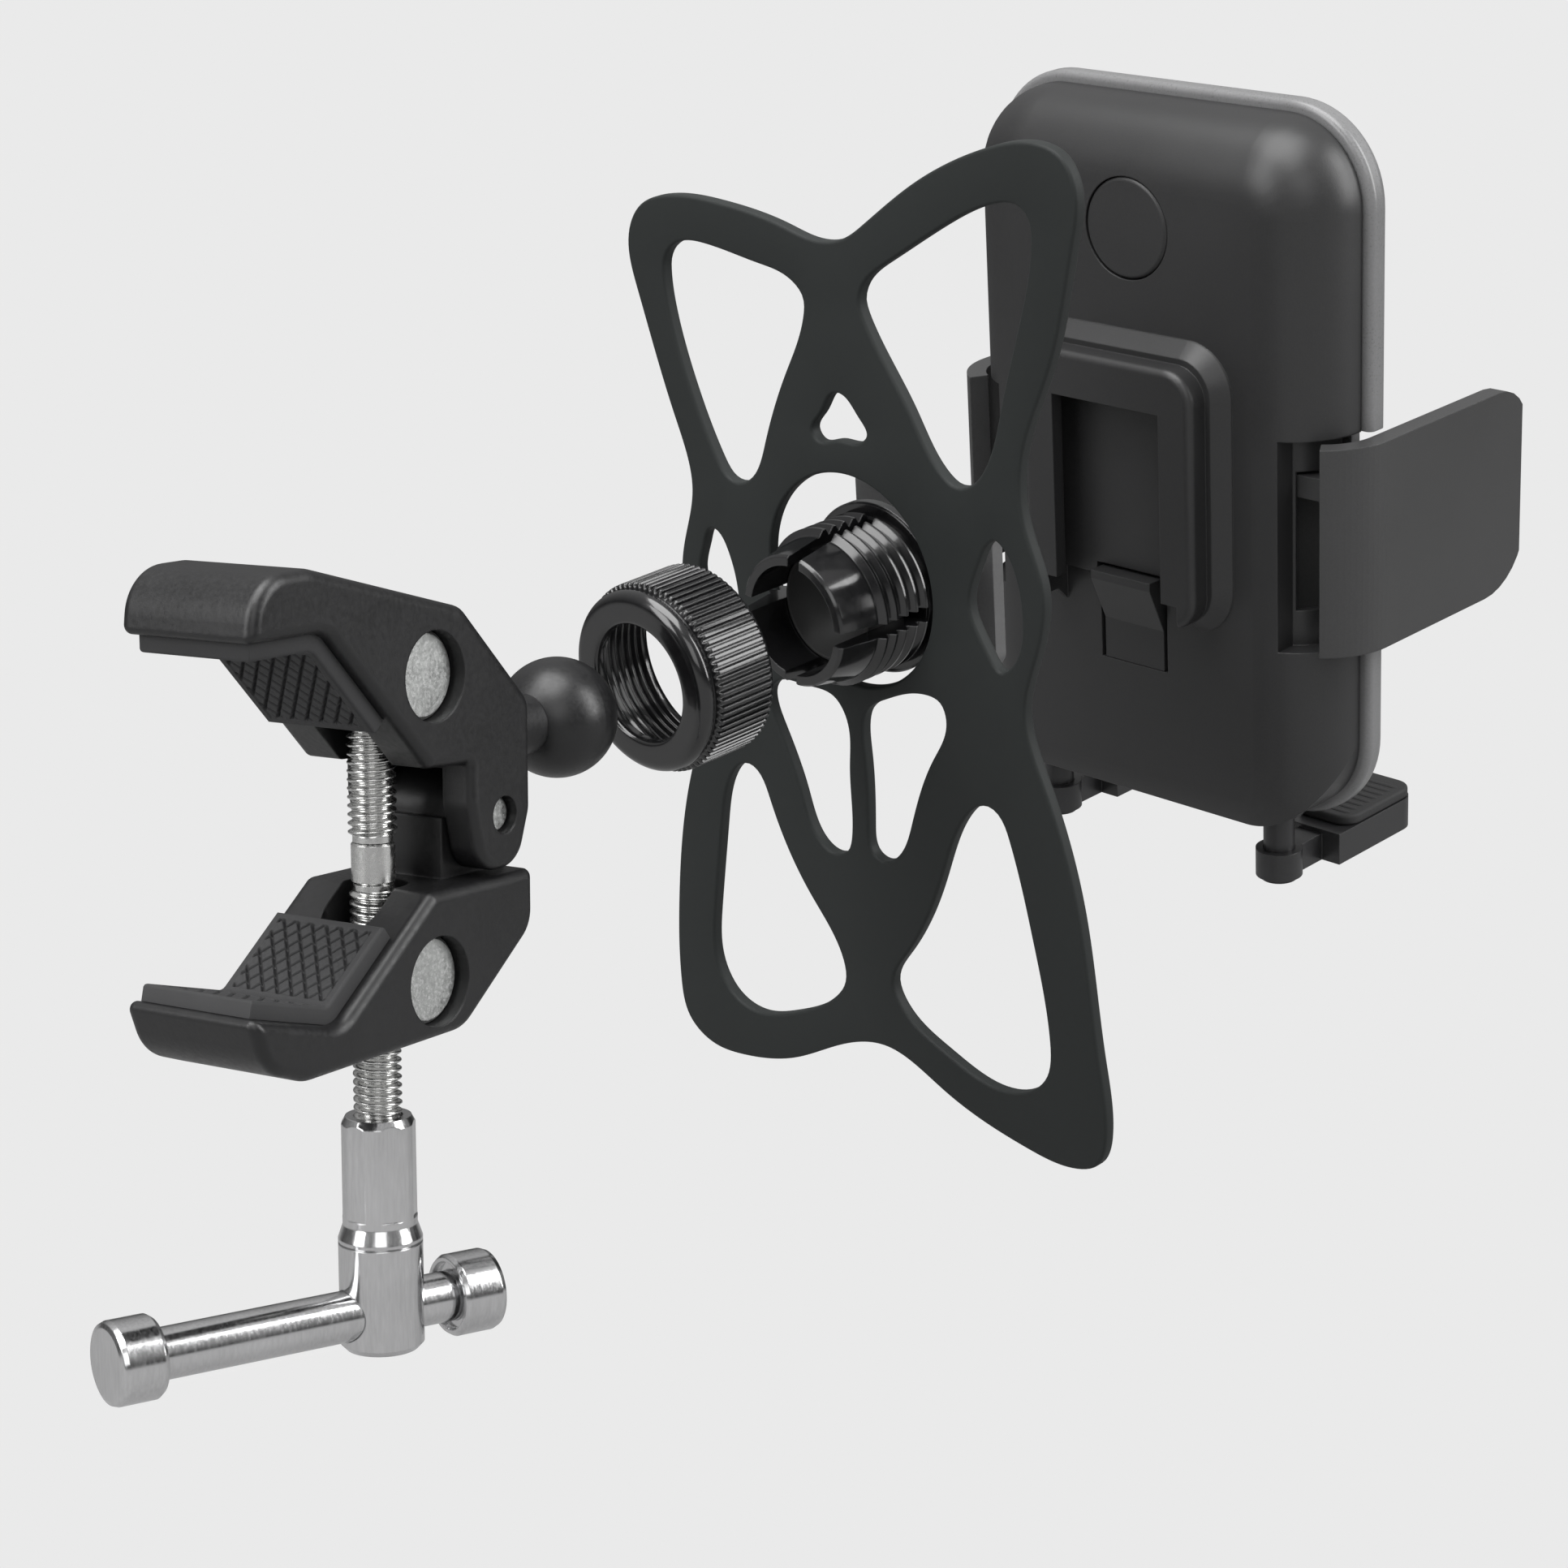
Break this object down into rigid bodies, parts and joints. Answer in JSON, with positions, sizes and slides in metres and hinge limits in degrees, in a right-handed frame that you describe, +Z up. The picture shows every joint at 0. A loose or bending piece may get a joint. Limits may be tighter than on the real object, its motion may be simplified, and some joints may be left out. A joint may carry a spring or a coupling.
{
  "type": "handlebar phone mount",
  "caption": "Handlebar phone mount shown taken apart: two-jaw screw clamp with T-handle, ball joint with ring nut, corner strap and spring-arm phone cradle.",
  "frame": {"origin": "centre of the ball", "axes": "+Y from the clamp towards the cradle along the ball stem, +X along the handlebar, +Z up the clamp screw"},
  "size_m": [0.1164, 0.2586, 0.1739],
  "materials": {
    "jaw_black": "fine matte powder coat on a casting",
    "pad_rubber": "moulded rubber with a diamond knurl",
    "steel_turned": "turned and speckled zinc-plated steel",
    "screw_zinc": "bright zinc-plated thread",
    "handle_chrome": "bright turned and plated",
    "ball_black": "satin moulded skin",
    "gloss_black": "glossy black moulding",
    "plate_grey": "satin grey moulding",
    "liner": "friction liner",
    "strap_silicone": "matte silicone",
    "shell_grey": "fine-grained matte plastic",
    "bezel_grey": "satin plastic",
    "arm_grey": "satin plastic",
    "soft_pad": "soft ribbed rubber",
    "gear_white": "natural acetal",
    "spring_steel": "spring wire"
  },
  "bodies": {
    "clamp": {"upper_jaw": "jaw_black", "upper_jaw_pad": "pad_rubber", "hinge_pin": "steel_turned"},
    "lower_clamp": {"lower_jaw": "jaw_black", "lower_jaw_pad": "pad_rubber"},
    "upper_barrel": {"upper_cross_barrel": "steel_turned"},
    "lower_barrel": {"lower_cross_barrel": "steel_turned"},
    "collar": {"screw_collar": "screw_zinc"},
    "screw": {"clamp_screw": "screw_zinc", "handle_head": "handle_chrome"},
    "t_bar": {"cross_bar": "handle_chrome", "cross_bar_caps": "handle_chrome"},
    "stem": {"ball_stem": "jaw_black"},
    "ball_body": {"ball": "ball_black"},
    "nut": {"ring_nut": "gloss_black"},
    "liner": {"socket_liner": "liner"},
    "socket": {"ball_socket": "gloss_black", "dock_plate": "plate_grey"},
    "strap": {"corner_strap": "strap_silicone"},
    "cradle": {"rear_shell": "shell_grey", "front_shell": "bezel_grey", "front_pad": "soft_pad", "shell_screws": "steel_turned", "button_spring": "spring_steel", "lever_pin": "steel_turned", "pinion_post": "steel_turned", "pinion_spring": "spring_steel"},
    "button": {"release_button": "shell_grey"},
    "lever": {"lock_lever": "gear_white"},
    "latch": {"latch_tongue": "shell_grey"},
    "gear": {"pinion": "gear_white"},
    "arm_right": {"right_arm": "arm_grey", "right_arm_pad": "soft_pad"},
    "arm_left": {"left_arm": "arm_grey", "left_arm_pad": "soft_pad"},
    "post_left": {"left_foot_post": "arm_grey"},
    "post_right": {"right_foot_post": "arm_grey"},
    "foot_left": {"left_foot": "arm_grey", "left_foot_cover": "soft_pad"},
    "foot_right": {"right_foot": "arm_grey", "right_foot_cover": "soft_pad"}
  },
  "joints": [
    {"name": "jaw_hinge", "type": "hinge", "parent": "clamp", "child": "lower_clamp", "pos_m": [0, -0.026, -0.009], "axis": [1, 0, 0], "range_deg": [-32, 0]},
    {"name": "upper_barrel_pivot", "type": "hinge", "parent": "clamp", "child": "upper_barrel", "pos_m": [0, -0.04, 0.011], "axis": [1, 0, 0], "range_deg": [-16, 0]},
    {"name": "screw_advance", "type": "slide", "parent": "upper_barrel", "child": "collar", "axis": [0, 0, 1], "range_m": [0, 0.00463]},
    {"name": "handle_turn", "type": "hinge", "parent": "collar", "child": "screw", "pos_m": [0, -0.04, 0], "axis": [0, 0, 1], "range_deg": [-1450.55, 0]},
    {"name": "lower_barrel_pivot", "type": "hinge", "parent": "lower_clamp", "child": "lower_barrel", "pos_m": [0, -0.04, -0.029], "axis": [1, 0, 0], "range_deg": [0, 16]},
    {"name": "bar_slide", "type": "slide", "parent": "screw", "child": "t_bar", "axis": [0.3616, 0.9323, 0], "range_m": [-0.004, 0.027]},
    {"name": "ball_swivel", "type": "hinge", "parent": "clamp", "child": "stem", "pos_m": [0, 0, 0], "axis": [0, 1, 0], "continuous": true},
    {"name": "ball_tilt", "type": "hinge", "parent": "stem", "child": "ball_body", "pos_m": [0, 0, 0], "axis": [0.7071, 0, -0.7071], "range_deg": [-17, 5], "stiffness_Nm_per_rad": 40},
    {"name": "socket_release", "type": "slide", "parent": "ball_body", "child": "liner", "axis": [0.2067, 0.9563, 0.2067], "range_m": [-0.052, 0], "stiffness_N_per_m": 10, "springref_m": 0.15},
    {"name": "nut_release", "type": "slide", "parent": "ball_body", "child": "nut", "axis": [0.2067, 0.9563, 0.2067], "range_m": [-0.023, 0], "stiffness_N_per_m": 5, "springref_m": 0.1},
    {"name": "socket_roll", "type": "hinge", "parent": "liner", "child": "socket", "pos_m": [0, 0, 0], "axis": [0.2067, 0.9563, 0.2067], "continuous": true},
    {"name": "strap_slide", "type": "slide", "parent": "socket", "child": "strap", "axis": [-0.2067, -0.9563, -0.2067], "range_m": [-0.0106, 0], "stiffness_N_per_m": 10, "springref_m": 0.05},
    {"name": "cradle_dock", "type": "slide", "parent": "socket", "child": "cradle", "axis": [0.2067, 0.9563, 0.2067], "range_m": [-0.046, 0], "stiffness_N_per_m": 10, "springref_m": 0.15},
    {"name": "button_press", "type": "slide", "parent": "cradle", "child": "button", "axis": [-0.2067, -0.9563, -0.2067], "range_m": [-0.0015, 0], "stiffness_N_per_m": 60},
    {"name": "lever_rock", "type": "hinge", "parent": "cradle", "child": "lever", "pos_m": [0.02927, 0.12102, 0.05063], "axis": [0.9751, -0.184, -0.124], "range_deg": [-5.5, 0]},
    {"name": "latch_flex", "type": "hinge", "parent": "cradle", "child": "latch", "pos_m": [0.02379, 0.12894, -0.00424], "axis": [0.9751, -0.184, -0.124], "range_deg": [-6, 0], "stiffness_Nm_per_rad": 0.01},
    {"name": "pinion_turn", "type": "hinge", "parent": "cradle", "child": "gear", "pos_m": [0.02711, 0.12883, 0.02199], "axis": [0.2067, 0.9563, 0.2067], "range_deg": [-52.52, 124.14]},
    {"name": "right_arm_slide", "type": "slide", "parent": "cradle", "child": "arm_right", "axis": [0.9751, -0.184, -0.124], "range_m": [-0.0055, 0.013]},
    {"name": "left_arm_slide", "type": "slide", "parent": "cradle", "child": "arm_left", "axis": [-0.9751, 0.184, 0.124], "range_m": [-0.0055, 0.013]},
    {"name": "left_post_slide", "type": "slide", "parent": "cradle", "child": "post_left", "axis": [-0.0805, 0.2272, -0.9705], "range_m": [-0.0015, 0.01], "stiffness_N_per_m": 150},
    {"name": "right_post_slide", "type": "slide", "parent": "cradle", "child": "post_right", "axis": [-0.0805, 0.2272, -0.9705], "range_m": [-0.0015, 0.01], "stiffness_N_per_m": 150},
    {"name": "left_foot_swing", "type": "hinge", "parent": "post_left", "child": "foot_left", "pos_m": [-0.00088, 0.14665, -0.03102], "axis": [0.0805, -0.2272, 0.9705], "range_deg": [-75, 75]},
    {"name": "right_foot_swing", "type": "hinge", "parent": "post_right", "child": "foot_right", "pos_m": [0.04592, 0.13782, -0.03697], "axis": [0.0805, -0.2272, 0.9705], "range_deg": [-75, 75]}
  ],
  "couplings": [
    {"joint": "jaw_hinge", "follows": "handle_turn", "ratio": 0.022061},
    {"joint": "upper_barrel_pivot", "follows": "handle_turn", "ratio": 0.01103},
    {"joint": "lower_barrel_pivot", "follows": "handle_turn", "ratio": -0.01103},
    {"joint": "screw_advance", "follows": "handle_turn", "m_per_rad": -0.00018303},
    {"joint": "nut_release", "follows": "socket_release", "ratio": 0.44231},
    {"joint": "lever_rock", "follows": "button_press", "rad_per_m": 62.25},
    {"joint": "left_arm_slide", "follows": "right_arm_slide", "ratio": 1},
    {"joint": "pinion_turn", "follows": "right_arm_slide", "rad_per_m": 166.67}
  ]
}
